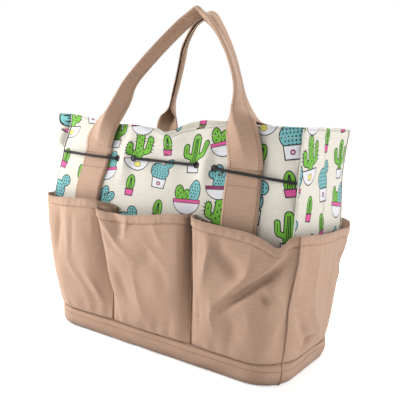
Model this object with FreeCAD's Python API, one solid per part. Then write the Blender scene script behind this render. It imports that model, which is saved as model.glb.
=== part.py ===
"""Garden tool bag: a canvas tote with eight outer pockets, two carry handles and an elastic cord round its mouth.

Frame: +Z up, the front faces -Y, the origin is the middle of the base's underside. Millimetres.
Each function below makes one sub-part, and the table at the end names the file that each one is written to.
"""

import FreeCAD
import Part
import math
import os

from FreeCAD import Rotation, Vector

# ---- Driving dimensions -------------------------------------------------------------------------------------------
RIM_WIDTH = 330.0  # seam to seam across the mouth
RIM_DEPTH = 126.0  # front to back across the mouth, part drawn in by its elastic
BAG_HEIGHT = 272.0  # floor to rim
BASE_WIDTH = 332.0
BASE_DEPTH = 160.0
HEM_WIDTH = 342.0  # body at the height of the pocket hems
HEM_DEPTH = 150.0
BAND_HEIGHT = 26.0  # plain band round the foot, up to the seam that closes the pockets
HEM_HEIGHT = 170.0  # pocket mouths
CORD_HEIGHT = 222.0
TACK_HEIGHT = 229.0  # where each handle stops being sewn down
CANVAS = 1.5  # one layer of canvas with its seam allowance
STRAP_WIDTH = 42.0
STRAP_THICK = 2.4  # doubled canvas
STRAP_X = 106.0  # middle of each handle leg from the middle of the bag
GRIP_WIDTH = 22.0  # strap folded in half along its length
GRIP_THICK = 6.0
HANDLE_TOP = 398.0  # middle of the grip at its highest point
DIVIDER_X = 58.0  # stitched lines between the three pockets of one face
CORD_RADIUS = 1.4
EYELET_HOLE = 2.0
EYELET_RADIUS = 3.6
INNER_EYELET_X = 45.0
OUTER_EYELET_X = 69.0
WALL_LEAN = 6.0  # degrees: how far the wall leans back where the eyelets are set
BINDING_WIDTH = 14.0
FACING_HEIGHT = 20.0  # turned-in hem of the mouth

# ---- Clearances ---------------------------------------------------------------------------------------------------
GAP = 0.3  # between sewn layers that lie against each other
FOLD_GAP = 0.5  # each side of a fold line that bends
CORNER_SEAM = math.radians(40.0)  # where a corner arc is divided between front and side panels

# ---- Body section at each height: half width, half depth, corner radius ---------------------------------------------
SECTIONS = [
    (0.0, BASE_WIDTH / 2 - 3, BASE_DEPTH / 2 - 3, 42.0),
    (BAND_HEIGHT, BASE_WIDTH / 2, BASE_DEPTH / 2, 42.0),
    (HEM_HEIGHT, HEM_WIDTH / 2, HEM_DEPTH / 2, 16.0),
    (CORD_HEIGHT, RIM_WIDTH / 2 + 0.5, RIM_DEPTH / 2 + 3, 12.0),
    (BAG_HEIGHT, RIM_WIDTH / 2, RIM_DEPTH / 2, 10.0),
]
SEAM_LAYERS = 5.0  # the walls stand this far inside the band, so that strap and pocket fit over them
FACE_BULGE = 4.0  # how far the middle of the front and back stand proud of their corners

# ---- Pocket fullness: height above the floor, then space between wall and pocket on a face and on a side --------------
POCKET_LEVELS = [
    (BAND_HEIGHT + 2 * FOLD_GAP, 3.2, 3.2),
    (60.0, 11.0, 8.5),
    (110.0, 15.0, 12.0),
    (HEM_HEIGHT, 17.0, 12.0),
]
SIDE_POCKET_HALF = 62.0


def blend(table, z):
    """The row of a table at height z, straight between its neighbours."""
    for low, high in zip(table, table[1:]):
        if z <= high[0]:
            share = (z - low[0]) / (high[0] - low[0])
            return [a + (b - a) * share for a, b in zip(low[1:], high[1:])]
    return list(table[-1][1:])


def section(z, inset=0.0):
    """Half width, half depth and corner radius of the body at height z, moved inwards by inset."""
    width, depth, radius = blend(SECTIONS, z)
    return width - inset, depth - inset, max(radius - inset, 2.0)


def wall_inset(z):
    """How far the wall's outer surface stands inside the body section: nothing at the hems and above."""
    share = max(0.0, min(1.0, (HEM_HEIGHT - z) / (HEM_HEIGHT - BAND_HEIGHT)))
    return SEAM_LAYERS * share


def face_y(x, z, out=0.0):
    """Depth of the front wall's outer surface at (x, z), moved outwards by out. The back mirrors it."""
    width, depth, radius = section(z, wall_inset(z) - out)
    share = min(1.0, abs(x) / (width - radius))
    return -(depth + FACE_BULGE * (1 - share * share))


def turned(shape):
    """The same shape on the back of the bag."""
    copy = shape.copy()
    copy.rotate(Vector(0, 0, 0), Vector(0, 0, 1), 180)
    return copy


def loft(wires):
    """A closed solid through wires that have the same number of edges."""
    solid = Part.makeLoft(wires, True, True)
    if solid.Volume < 0:
        solid.reverse()
    return solid


def closed(edges):
    return Part.Wire(Part.__sortEdges__(edges))


def polygon(points, z):
    corners = [Vector(x, y, z) for x, y in points]
    return Part.makePolygon(corners + [corners[0]])


def arc(a, middle, b):
    return Part.Arc(a, middle, b).toShape()


def front_curve(z, inset, bulge):
    """The front's plan line at height z: a piece of each corner arc and a shallow arc between them."""
    width, depth, radius = section(z, inset)
    cx, cy = width - radius, depth - radius

    def corner(angle, side):
        return Vector(side * (cx + radius * math.sin(angle)), -(cy + radius * math.cos(angle)), z)

    half = CORNER_SEAM / 2
    left = arc(corner(CORNER_SEAM, -1), corner(half, -1), corner(0, -1))
    middle = arc(corner(0, -1), Vector(0, -(depth + bulge), z), corner(0, 1))
    right = arc(corner(0, 1), corner(half, 1), corner(CORNER_SEAM, 1))
    return [left, middle, right], corner(CORNER_SEAM, -1), corner(CORNER_SEAM, 1)


def side_curve(z, inset):
    """The right side's plan line at height z, between its two corner seams."""
    width, depth, radius = section(z, inset)
    cx, cy = width - radius, depth - radius
    start = CORNER_SEAM + math.radians(1.5)

    def corner(angle, side):
        return Vector(cx + radius * math.sin(angle), side * (cy + radius * math.cos(angle)), z)

    middle = (start + math.pi / 2) / 2
    low = arc(corner(start, -1), corner(middle, -1), corner(math.pi / 2, -1))
    flat = Part.LineSegment(corner(math.pi / 2, -1), corner(math.pi / 2, 1)).toShape()
    high = arc(corner(math.pi / 2, 1), corner(middle, 1), corner(start, 1))
    return [low, flat, high], corner(start, -1), corner(start, 1)


def skin(curve, z, outer, thick, *extra):
    """A closed plan section between a curve and the same curve moved inwards by thick."""
    edges, a0, b0 = curve(z, outer, *extra)
    inner, a1, b1 = curve(z, outer + thick, *extra)
    ends = [Part.LineSegment(a0, a1).toShape(), Part.LineSegment(b0, b1).toShape()]
    return closed(edges + inner + ends)


def heights(low, high):
    """low, high and every height between them where the body section changes."""
    return [low] + [row[0] for row in SECTIONS if low < row[0] < high] + [high]


def face_skin(low, high, thick, inset=0.0):
    wires = [skin(front_curve, z, wall_inset(z) + inset, thick, FACE_BULGE) for z in heights(low, high)]
    return loft(wires)


def side_skin(low, high, thick, inset=0.0):
    wires = [skin(side_curve, z, wall_inset(z) + inset, thick) for z in heights(low, high)]
    return loft(wires)


# ---- Foot ---------------------------------------------------------------------------------------------------------
BAND_THICK = 3.0


def base_panel():
    width, depth, radius = section(0.0, BAND_THICK + GAP)
    plate = Part.makeBox(2 * width, 2 * depth, CANVAS, Vector(-width, -depth, 0))
    upright = [e for e in plate.Edges if abs(e.tangentAt(e.FirstParameter).z) > 0.9]
    return plate.makeFillet(radius, upright)


def base_band_front():
    top = BAND_HEIGHT - GAP
    return loft([skin(front_curve, z, 0.0, BAND_THICK, 1.0) for z in (0.0, top)])


def base_band_side():
    top = BAND_HEIGHT - GAP
    return loft([skin(side_curve, z, 0.0, BAND_THICK) for z in (0.0, top)])


# ---- Walls --------------------------------------------------------------------------------------------------------
def front_panel_lower():
    return face_skin(BAND_HEIGHT, HEM_HEIGHT, CANVAS)


def front_panel_upper():
    panel = face_skin(HEM_HEIGHT + 2 * FOLD_GAP, BAG_HEIGHT, CANVAS)
    for x in (-OUTER_EYELET_X, -INNER_EYELET_X, INNER_EYELET_X, OUTER_EYELET_X):
        drill = Part.makeCylinder(EYELET_HOLE + 0.8, 30, Vector(x, -85, CORD_HEIGHT), Vector(0, 1, 0))
        drill.rotate(Vector(x, face_y(x, CORD_HEIGHT), CORD_HEIGHT), Vector(1, 0, 0), -WALL_LEAN)
        panel = panel.cut(drill)
    return panel


def side_gusset():
    return side_skin(BAND_HEIGHT, BAG_HEIGHT, CANVAS)


def front_rim_facing():
    return face_skin(BAG_HEIGHT - FACING_HEIGHT, BAG_HEIGHT - 1.0, 1.0, CANVAS + GAP)


def side_rim_facing():
    return side_skin(BAG_HEIGHT - FACING_HEIGHT, BAG_HEIGHT - 1.0, 1.0, CANVAS + GAP)


def seam_bindings():
    """Tape over the four raw corner seams, inside the bag and sewn to the side panels."""
    strips = []
    for x_side in (-1, 1):
        for y_side in (-1, 1):
            wires = []
            for z in heights(BAND_HEIGHT + 2, BAG_HEIGHT - FACING_HEIGHT - 2):
                width, depth, radius = section(z, wall_inset(z) + CANVAS + GAP)
                x0 = width - 1.0
                y1 = depth - radius
                row = [(x0, y1 - BINDING_WIDTH), (x0 + 1.0, y1 - BINDING_WIDTH), (x0 + 1.0, y1), (x0, y1)]
                wires.append(polygon([(x * x_side, y * y_side) for x, y in row], z))
            strips.append(loft(wires))
    return Part.makeCompound(strips)


# ---- Pockets ------------------------------------------------------------------------------------------------------
def channel(outline, z, thick):
    """Section of an open channel: the outline's points, then the same points moved inwards by thick."""
    (x0, w0), (x1, f1), (x2, f2), (x3, w3) = outline
    outer = [(x0, w0), (x1, f1), (x2, f2), (x3, w3)]
    inner = [(x3 - thick, w3), (x2 - thick, f2 - thick), (x1 + thick, f1 - thick), (x0 + thick, w0)]
    return outer + inner


def face_pocket(x_low, x_high):
    """One pocket of the front, from its stitched line at x_low to the one at x_high."""
    wires = []
    for z, fullness, _ in POCKET_LEVELS:
        width, _, radius = section(z, wall_inset(z))
        lean = (fullness - POCKET_LEVELS[0][1]) * 0.35
        low = max(x_low, -(width - radius * 0.55)) + 0.8
        high = min(x_high, width - radius * 0.55) - 0.8
        out = [(low, 0.5), (low + lean, fullness + CANVAS), (high - lean, fullness + CANVAS), (high, 0.5)]
        points = []
        for x, off in channel(out, z, CANVAS):
            points.append((x, face_y(x, z) - off))
        wires.append(polygon(points, z))
    return loft(wires)


def side_pocket():
    """The one pocket of the right side."""
    wires = []
    for z, _, fullness in POCKET_LEVELS:
        width, depth, radius = section(z, wall_inset(z))
        half = min(SIDE_POCKET_HALF, depth - radius * 0.75)
        lean = (fullness - POCKET_LEVELS[0][2]) * 0.35
        out = [(-half, 0.5), (-half + lean, fullness + CANVAS), (half - lean, fullness + CANVAS), (half, 0.5)]
        points = [(width + off, y) for y, off in channel(out, z, CANVAS)]
        wires.append(polygon(points, z))
    return loft(wires)


# ---- Handles ------------------------------------------------------------------------------------------------------
def strap_piece(x, low, high):
    """A length of doubled strap that lies on the front wall between two heights."""
    wires = []
    for z in heights(low, high):
        points = []
        for dx, off in ((-1, GAP), (1, GAP), (1, GAP + STRAP_THICK), (-1, GAP + STRAP_THICK)):
            px = x + dx * STRAP_WIDTH / 2
            points.append((px, face_y(px, z) - off))
        wires.append(polygon(points, z))
    return loft(wires)


def strap_lower(side):
    return strap_piece(side * STRAP_X, BAND_HEIGHT + 1.0, HEM_HEIGHT)


def strap_upper(side):
    return strap_piece(side * STRAP_X, HEM_HEIGHT + 2 * FOLD_GAP, TACK_HEIGHT - FOLD_GAP)


# Half of the front handle's middle line: x, y, z, width, thickness, tilt of the width out of the loop's plane.
HANDLE_PATH = [
    (106.0, -71.8, TACK_HEIGHT + FOLD_GAP, STRAP_WIDTH, STRAP_THICK, 0.0),
    (106.0, -70.4, 252.0, STRAP_WIDTH, STRAP_THICK, 0.0),
    (104.5, -69.2, BAG_HEIGHT + 4, STRAP_WIDTH, STRAP_THICK, 0.0),
    (96.0, -62.0, 292.0, 38.0, 3.2, 4.0),
    (86.5, -55.0, 304.0, GRIP_WIDTH, GRIP_THICK, 12.0),
    (72.0, -46.0, 322.0, GRIP_WIDTH, GRIP_THICK, 22.0),
    (54.0, -35.0, 346.0, GRIP_WIDTH, GRIP_THICK, 32.0),
    (31.0, -23.0, 372.0, GRIP_WIDTH, GRIP_THICK, 40.0),
    (12.0, -15.5, 391.0, GRIP_WIDTH, GRIP_THICK, 45.0),
    (0.0, -14.0, HANDLE_TOP, GRIP_WIDTH, GRIP_THICK, 45.0),
]


def handle_section(point, tangent, width, thick, tilt):
    """A rectangle across the strap. With no tilt its width lies in the loop's own plane."""
    along = tangent.normalize()
    across = along.cross(Vector(0, -1, 0)).normalize()
    across = Rotation(along, tilt).multVec(across)
    facing = across.cross(along).normalize()
    a, b = across * (width / 2), facing * (thick / 2)
    corners = [point - a - b, point + a - b, point + a + b, point - a + b]
    return Part.makePolygon(corners + [corners[0]])


def front_handle():
    rows = [(-x, y, z, w, t, -tilt) for x, y, z, w, t, tilt in HANDLE_PATH]
    rows += HANDLE_PATH[-2::-1]
    points = [Vector(*row[:3]) for row in rows]
    wires = []
    for i, row in enumerate(rows):
        if i in (0, len(rows) - 1):
            tangent = Vector(0, 0, 1 if i == 0 else -1)
        else:
            tangent = (points[i + 1] - points[i]).normalize() + (points[i] - points[i - 1]).normalize()
        wires.append(handle_section(points[i], tangent, *row[3:]))
    return loft(wires)


# ---- Elastic cord -------------------------------------------------------------------------------------------------
def tube(points, radius):
    """A round cord through points, with a ball at each bend."""
    shape = None
    for a, b in zip(points, points[1:]):
        run = Part.makeCylinder(radius, (b - a).Length, a, b - a)
        shape = run if shape is None else shape.fuse(run)
    for p in points[1:-1]:
        shape = shape.fuse(Part.makeSphere(radius, p))
    return shape.removeSplitter()


def front_cord():
    """From one corner seam to the other: over both handle legs, and inside the wall between paired eyelets."""
    z = CORD_HEIGHT
    over = GAP + STRAP_THICK + GAP + CORD_RADIUS
    near = 1.2 + GAP + CORD_RADIUS
    inside = -(CANVAS + 1.2 + 2 * GAP + CORD_RADIUS)
    stations = [
        (-RIM_WIDTH / 2 + 9, near - 0.6),
        (-STRAP_X - STRAP_WIDTH / 2 - 3, over),
        (-STRAP_X + STRAP_WIDTH / 2 + 3, over),
        (-OUTER_EYELET_X, near),
        (-OUTER_EYELET_X, inside),
        (-INNER_EYELET_X, inside),
        (-INNER_EYELET_X, near),
        (0.0, near),
    ]
    stations += [(-x, off) for x, off in stations[-2::-1]]
    return tube([Vector(x, face_y(x, z) - off, z) for x, off in stations], CORD_RADIUS)


def eyelets():
    """Four rings, each with a flange outside the canvas, a barrel through it and a flange inside."""
    rings = []
    flange = 0.6
    grip = CANVAS + 2 * GAP
    length = grip + 2 * flange
    axis = Vector(0, 1, 0)
    for x in (-OUTER_EYELET_X, -INNER_EYELET_X, INNER_EYELET_X, OUTER_EYELET_X):
        ring = Part.makeCylinder(EYELET_HOLE + 0.4, length, Vector(0, 0, 0), axis)
        ring = ring.fuse(Part.makeCylinder(EYELET_RADIUS, flange, Vector(0, 0, 0), axis))
        ring = ring.fuse(Part.makeCylinder(EYELET_RADIUS, flange, Vector(0, flange + grip, 0), axis))
        ring = ring.cut(Part.makeCylinder(EYELET_HOLE, length + 2, Vector(0, -1, 0), axis))
        ring.rotate(Vector(0, 0, 0), Vector(1, 0, 0), -WALL_LEAN)
        ring.translate(Vector(x, face_y(x, CORD_HEIGHT) - flange - GAP, CORD_HEIGHT))
        rings.append(ring)
    return Part.makeCompound(rings)


# ---- Files --------------------------------------------------------------------------------------------------------
def build():
    edge = HEM_WIDTH
    front = {
        "base_band_front": base_band_front(),
        "front_panel_lower": front_panel_lower(),
        "front_panel_upper": front_panel_upper(),
        "front_rim_facing": front_rim_facing(),
        "front_left_pocket": face_pocket(-edge, -DIVIDER_X),
        "front_middle_pocket": face_pocket(-DIVIDER_X, DIVIDER_X),
        "front_right_pocket": face_pocket(DIVIDER_X, edge),
        "front_left_strap_lower": strap_lower(-1),
        "front_right_strap_lower": strap_lower(1),
        "front_left_strap_upper": strap_upper(-1),
        "front_right_strap_upper": strap_upper(1),
        "front_handle": front_handle(),
        "front_cord": front_cord(),
        "front_eyelets": eyelets(),
    }
    right = {
        "base_band_right": base_band_side(),
        "right_gusset": side_gusset(),
        "right_rim_facing": side_rim_facing(),
        "right_side_pocket": side_pocket(),
    }
    parts = {"base_panel": base_panel(), "seam_bindings": seam_bindings()}
    parts.update(front)
    parts.update(right)
    # A half turn swaps left and right as well as front and back.
    swaps = {"front": "back", "left": "right", "right": "left"}
    for name, shape in list(front.items()) + list(right.items()):
        other = "_".join(swaps.get(word, word) for word in name.split("_"))
        parts[other] = turned(shape)
    return parts


os.makedirs("parts", exist_ok=True)
for node, solid in build().items():
    solid.exportStep("parts/" + node + ".step")
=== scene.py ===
import math
import random

import bpy
import numpy as np
from mathutils import Matrix, Vector
from mathutils.geometry import delaunay_2d_cdt


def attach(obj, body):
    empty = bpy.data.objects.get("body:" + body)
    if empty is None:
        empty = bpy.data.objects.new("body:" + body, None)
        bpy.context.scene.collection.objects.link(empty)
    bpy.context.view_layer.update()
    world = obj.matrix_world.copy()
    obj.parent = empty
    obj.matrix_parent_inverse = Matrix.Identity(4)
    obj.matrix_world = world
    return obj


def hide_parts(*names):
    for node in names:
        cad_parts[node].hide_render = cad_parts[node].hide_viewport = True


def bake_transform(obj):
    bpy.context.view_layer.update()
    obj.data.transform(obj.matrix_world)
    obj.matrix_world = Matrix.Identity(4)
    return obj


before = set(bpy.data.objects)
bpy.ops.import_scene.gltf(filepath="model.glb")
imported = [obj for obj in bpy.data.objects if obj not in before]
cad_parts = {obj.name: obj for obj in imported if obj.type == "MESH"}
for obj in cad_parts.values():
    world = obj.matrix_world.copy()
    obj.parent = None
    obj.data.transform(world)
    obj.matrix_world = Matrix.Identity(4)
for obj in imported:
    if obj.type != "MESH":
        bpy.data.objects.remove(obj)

# Lengths are millimetres in the CAD frame: +Z up, front towards -Y, origin under the middle of the base.
MM = 0.001
SCENE = bpy.context.scene
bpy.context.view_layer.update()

BAND_TOP = 27.0
PRINT_FOOT = 148.0
CORD_Z = 222.0
LEG_TOP = 226.5  # the handles leave the wall here
RIM = 272.0
PRINT_TALL = RIM - PRINT_FOOT
HALF_MOUTH = 165.0
GUSSET_HALF = 64.0
STRAP_X = 106.0
STRAP_WIDE = 42.0
STRAP_THICK = 2.4
UPPER_FACES = (("front", -1), ("back", 1))
SIDES = (("right", 1), ("left", -1))


# ---- Colours and materials ----
def srgb(red, green, blue):
    """Linear colour of a 0 to 255 screen colour."""
    def channel(value):
        value = value / 255
        return value / 12.92 if value <= 0.04045 else ((value + 0.055) / 1.055) ** 2.4
    return (channel(red), channel(green), channel(blue), 1.0)


class Nodes:
    """Short helper for building a node tree."""

    def __init__(self, name):
        self.material = bpy.data.materials.new(name)
        self.material.use_nodes = True
        self.tree = self.material.node_tree
        self.shader = self.tree.nodes["Principled BSDF"]

    def add(self, kind, **values):
        node = self.tree.nodes.new(kind)
        for key, value in values.items():
            if key in node.inputs:
                node.inputs[key].default_value = value
            else:
                setattr(node, key, value)
        return node

    def link(self, source, target):
        self.tree.links.new(source, target)

    def math(self, operation, first, second=None):
        node = self.add("ShaderNodeMath", operation=operation)
        for socket, value in zip(node.inputs, (first, second)):
            if value is None:
                continue
            if isinstance(value, (int, float)):
                socket.default_value = value
            else:
                self.link(value, socket)
        return node.outputs[0]

    def mix(self, factor, first, second):
        node = self.add("ShaderNodeMix", data_type="RGBA")
        for socket, value in ((node.inputs[0], factor), (node.inputs[6], first), (node.inputs[7], second)):
            if isinstance(value, (int, float, tuple)):
                socket.default_value = value
            else:
                self.link(value, socket)
        return node.outputs[2]

    def noise(self, scale, detail, vector):
        node = self.add("ShaderNodeTexNoise", Scale=scale, Detail=detail)
        self.link(vector, node.inputs["Vector"])
        return node.outputs["Fac"]


def shade(colour, factor, lift=0.0):
    """The same colour made darker or lighter."""
    return tuple(min(1.0, c * factor + lift) for c in colour[:3]) + (1.0,)


def cloth(name, colour, pitch=0.9, depth=0.22, mottle=0.10, slub=0.10):
    """Plain-weave cloth. The UV map, in millimetres, carries the crossing threads and the thicker threads
    that streak the cloth. Mottling comes from the object's own coordinates, and creases get painted shade."""
    n = Nodes(name)
    uv_map = n.add("ShaderNodeUVMap").outputs[0]
    uv = n.add("ShaderNodeSeparateXYZ")
    n.link(uv_map, uv.inputs[0])
    across = n.math("SINE", n.math("MULTIPLY", uv.outputs[0], math.pi / pitch))
    along = n.math("SINE", n.math("MULTIPLY", uv.outputs[1], math.pi / pitch))
    parity = n.math("MULTIPLY", n.math("SIGN", n.math("MULTIPLY", across, along)), 0.3)
    warp = n.math("MULTIPLY", n.math("ABSOLUTE", across), n.math("ADD", parity, 0.7))
    weft = n.math("MULTIPLY", n.math("ABSOLUTE", along), n.math("SUBTRACT", 0.7, parity))
    weave = n.math("MAXIMUM", warp, weft)
    place = n.add("ShaderNodeTexCoord").outputs["Object"]
    broad = n.noise(14.0, 3.0, place)
    fine = n.noise(900.0, 2.0, place)
    streaks = []
    for stretch in ((0.06, 0.8, 1.0), (0.8, 0.05, 1.0)):
        scaled = n.add("ShaderNodeVectorMath", operation="MULTIPLY")
        n.link(uv_map, scaled.inputs[0])
        scaled.inputs[1].default_value = stretch
        streaks.append(n.noise(1.0, 2.0, scaled.outputs[0]))
    streak = n.math("ADD", n.math("MULTIPLY", streaks[0], 0.65), n.math("MULTIPLY", streaks[1], 0.35))
    contrast = n.math("ADD", n.math("MULTIPLY", n.math("SUBTRACT", streak, 0.5), 3.0), 0.5)
    dark, light, deep = shade(colour, 0.70), shade(colour, 1.18, 0.01), shade(colour, 0.35)
    tone = n.mix(mottle * 2, colour, n.mix(broad, dark, light))
    tone = n.mix(slub * 3.4, tone, n.mix(contrast, dark, light))
    tone = n.mix(slub * 1.5, tone, n.mix(fine, dark, light))
    tone = n.mix(n.math("MULTIPLY", n.math("SUBTRACT", 1.0, weave), 0.30), tone, dark)
    # Painted shade: an ambient occlusion node mixes the colour towards the much darker deep copy in creases,
    # folds and narrow gaps.
    openness = n.add("ShaderNodeAmbientOcclusion", Distance=22 * MM).outputs["AO"]
    tone = n.mix(n.math("POWER", n.math("SUBTRACT", 1.0, openness), 1.4), tone, deep)
    n.link(tone, n.shader.inputs["Base Color"])
    bump = n.add("ShaderNodeBump", Strength=depth, Distance=0.3 * MM)
    n.link(n.math("ADD", weave, n.math("MULTIPLY", streak, 1.6)), bump.inputs["Height"])
    n.link(bump.outputs[0], n.shader.inputs["Normal"])
    n.shader.inputs["Roughness"].default_value = 0.92
    n.shader.inputs["Sheen Weight"].default_value = 0.2
    n.shader.inputs["Sheen Roughness"].default_value = 0.5
    n.shader.inputs["Specular IOR Level"].default_value = 0.2
    return n.material


def braid(name, colour):
    """Braided elastic: two sets of slanting ridges wound round the cord."""
    n = Nodes(name)
    uv = n.add("ShaderNodeSeparateXYZ")
    n.link(n.add("ShaderNodeUVMap").outputs[0], uv.inputs[0])
    turn = n.math("MULTIPLY", uv.outputs[1], 2.6)
    run = n.math("MULTIPLY", uv.outputs[0], 3.2)
    one = n.math("ABSOLUTE", n.math("SINE", n.math("ADD", run, turn)))
    two = n.math("ABSOLUTE", n.math("SINE", n.math("SUBTRACT", run, turn)))
    ridge = n.math("MAXIMUM", one, two)
    # Painted highlight: the ridges are mixed towards a paler colour, so the grooves between them read as
    # shaded.
    pale = shade(colour, 3, 0.02)
    n.link(n.mix(n.math("MULTIPLY", ridge, 0.35), colour, pale), n.shader.inputs["Base Color"])
    bump = n.add("ShaderNodeBump", Strength=0.6, Distance=0.3 * MM)
    n.link(ridge, bump.inputs["Height"])
    n.link(bump.outputs[0], n.shader.inputs["Normal"])
    n.shader.inputs["Roughness"].default_value = 0.75
    return n.material


def enamel(name, colour):
    """Painted metal with a faint orange-peel and small scuffs."""
    n = Nodes(name)
    place = n.add("ShaderNodeTexCoord").outputs["Object"]
    scuff = n.noise(1500.0, 3.0, place)
    pale = shade(colour, 2, 0.03)
    n.link(n.mix(n.math("MULTIPLY", scuff, 0.4), colour, pale), n.shader.inputs["Base Color"])
    n.link(n.math("ADD", n.math("MULTIPLY", scuff, 0.3), 0.25), n.shader.inputs["Roughness"])
    n.shader.inputs["Metallic"].default_value = 0.3
    return n.material


TAN = cloth("tan_canvas", srgb(194, 160, 137), depth=0.12)
LINING = cloth("lining_canvas", srgb(206, 198, 182), pitch=0.8)
TAPE = cloth("binding_tape", srgb(196, 184, 164), pitch=0.5)
THREAD = cloth("tan_thread", srgb(178, 139, 108), pitch=0.3, depth=0.2)
CORD = braid("elastic_cord", srgb(17, 16, 17))
EYELET = enamel("eyelet_black", srgb(22, 22, 23))

PRINT = {"ground": cloth("print_ground", srgb(232, 227, 214), pitch=0.8, slub=0.07, mottle=0.05)}
for key, screen in (("ink", (34, 38, 36)), ("leaf", (122, 192, 66)), ("teal", (126, 193, 196)),
                    ("white", (238, 236, 243)), ("pink", (226, 92, 158)), ("plum", (150, 62, 104)),
                    ("yellow", (240, 226, 120))):
    PRINT[key] = cloth("print_" + key, srgb(*screen), pitch=0.8)
PRINT_ORDER = list(PRINT)


# ---- Mesh helpers ----
def unit(vectors):
    """Vectors scaled to length 1."""
    return vectors / np.maximum(np.linalg.norm(vectors, axis=-1, keepdims=True), 1e-9)


def run_lengths(line):
    """Distance along a line at each of its points."""
    return np.concatenate([[0], np.cumsum(np.linalg.norm(np.diff(line, axis=0), axis=1))])


def bell(value, middle, width, power=2):
    """1 in the middle, falling to nothing a width or two away."""
    return np.exp(-((value - middle) / width) ** power)


def add_mesh(name, points, faces, materials, uv, slots=None):
    """A new object from points and UVs in millimetres. Each point has one UV."""
    points = np.asarray(points, float).reshape(-1, 3)
    mesh = bpy.data.meshes.new(name)
    mesh.from_pydata((points * MM).tolist(), [], faces)
    for material in materials:
        mesh.materials.append(material)
    if slots is not None:
        mesh.polygons.foreach_set("material_index", slots)
    mesh.polygons.foreach_set("use_smooth", [True] * len(mesh.polygons))
    corners = np.zeros(len(mesh.loops), int)
    mesh.loops.foreach_get("vertex_index", corners)
    layer = mesh.uv_layers.new(name="UVMap")
    layer.data.foreach_set("uv", np.asarray(uv, float).reshape(-1, 2)[corners].ravel())
    mesh.update()
    obj = bpy.data.objects.new(name, mesh)
    SCENE.collection.objects.link(obj)
    return obj


def grid_faces(columns, rows, around=False, flip=False):
    """Quads over a grid stored row by row."""
    faces = []
    for j in range(rows - 1):
        for i in range(columns if around else columns - 1):
            k = (i + 1) % columns
            quad = (j * columns + i, j * columns + k, (j + 1) * columns + k, (j + 1) * columns + i)
            faces.append(quad[::-1] if flip else quad)
    return faces


def grid_uv(points):
    """UVs in millimetres along the rows and columns of a grid of points."""
    along = np.linalg.norm(np.diff(points, axis=1), axis=2)
    up = np.linalg.norm(np.diff(points, axis=0), axis=2)
    u = np.concatenate([np.zeros((points.shape[0], 1)), np.cumsum(along, axis=1)], axis=1)
    v = np.concatenate([np.zeros((1, points.shape[1])), np.cumsum(up, axis=0)], axis=0)
    return np.stack([u - u[:, -1:] / 2, v], axis=2)


def grid_normals(points):
    """Unit normals of a grid of points, outward when columns run anticlockwise from above and rows go up."""
    return unit(np.cross(np.gradient(points, axis=1), np.gradient(points, axis=0)))


def fit(obj, slot, body, *nodes):
    """Hides the CAD nodes a piece stands for and puts it on a body in their place. The slot is not used."""
    if nodes:
        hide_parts(*nodes)
    if body:
        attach(obj, body)
    return obj


def sheet(name, points, material, thickness):
    """A sheet of cloth over a grid of points, with its thickness on the inner side."""
    rows, columns = points.shape[:2]
    obj = add_mesh(name, points, grid_faces(columns, rows), [material], grid_uv(points))
    solid = obj.modifiers.new("thickness", "SOLIDIFY")
    solid.thickness = thickness * MM
    solid.offset = -1.0
    solid.use_even_offset = False
    return obj


def eased(low, high, value):
    """0 below low and 1 above high, with a smooth step between."""
    t = np.clip((value - low) / (high - low), 0, 1)
    return t * t * (3 - 2 * t)


def spline(controls, count):
    """A smooth line through control points, sampled evenly along its length."""
    c = np.asarray(controls, float)
    padded = np.vstack([2 * c[0] - c[1], c, 2 * c[-1] - c[-2]])
    fine = []
    for i in range(1, len(padded) - 2):
        a, b, d, e = padded[i - 1:i + 3]
        t = np.linspace(0, 1, 24, endpoint=False)[:, None]
        fine.append(0.5 * (2 * b + (d - a) * t + (2 * a - 5 * b + 4 * d - e) * t ** 2
                           + (3 * b - a - 3 * d + e) * t ** 3))
    return resample(np.vstack(fine + [c[-1:]]), count)


def resample(line, count):
    """The same line with evenly spaced points."""
    steps = run_lengths(line)
    want = np.linspace(0, steps[-1], count)
    return np.stack([np.interp(want, steps, line[:, k]) for k in range(line.shape[1])], axis=1)


def stroke(x, z, line, width):
    """1 on a line drawn on the cloth, falling away to both sides, and fading towards the line's ends."""
    line = np.asarray(line, float)
    lengths = run_lengths(line)
    best = np.full(np.shape(x), 1e9)
    along = np.zeros(np.shape(x))
    for (a, b), start, length in zip(zip(line, line[1:]), lengths, np.diff(lengths)):
        d = b - a
        t = np.clip(((x - a[0]) * d[0] + (z - a[1]) * d[1]) / (d @ d), 0, 1)
        gap = np.hypot(x - a[0] - t * d[0], z - a[1] - t * d[1])
        closer = gap < best
        best = np.where(closer, gap, best)
        along = np.where(closer, (start + t * length) / lengths[-1], along)
    return np.exp(-(best / width) ** 2) * np.sin(np.pi * np.clip(along * 0.9 + 0.05, 0, 1)) ** 0.6


def ripple(x, z, seed, size):
    """Soft random undulation of about 1, from a few waves in set directions."""
    count = 7
    chance = random.Random(seed)
    total = np.zeros(np.shape(x))
    for _ in range(count):
        angle = chance.uniform(0, math.pi)
        wave = size * chance.uniform(0.7, 1.6)
        shift = chance.uniform(0, 2 * math.pi)
        total = total + np.sin((x * math.cos(angle) + z * math.sin(angle)) * 2 * math.pi / wave + shift)
    return total / math.sqrt(count)


# ---- Stitching ----
THREAD_PITCH = 3.4
THREAD_LONG = 2.5
THREAD_SINK = 0.1
THREAD_FORM = ((-0.5, 0.25), (-0.3, 0.9), (0.0, 1.1), (0.3, 0.9), (0.5, 0.25))  # (place along, fatness)


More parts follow.
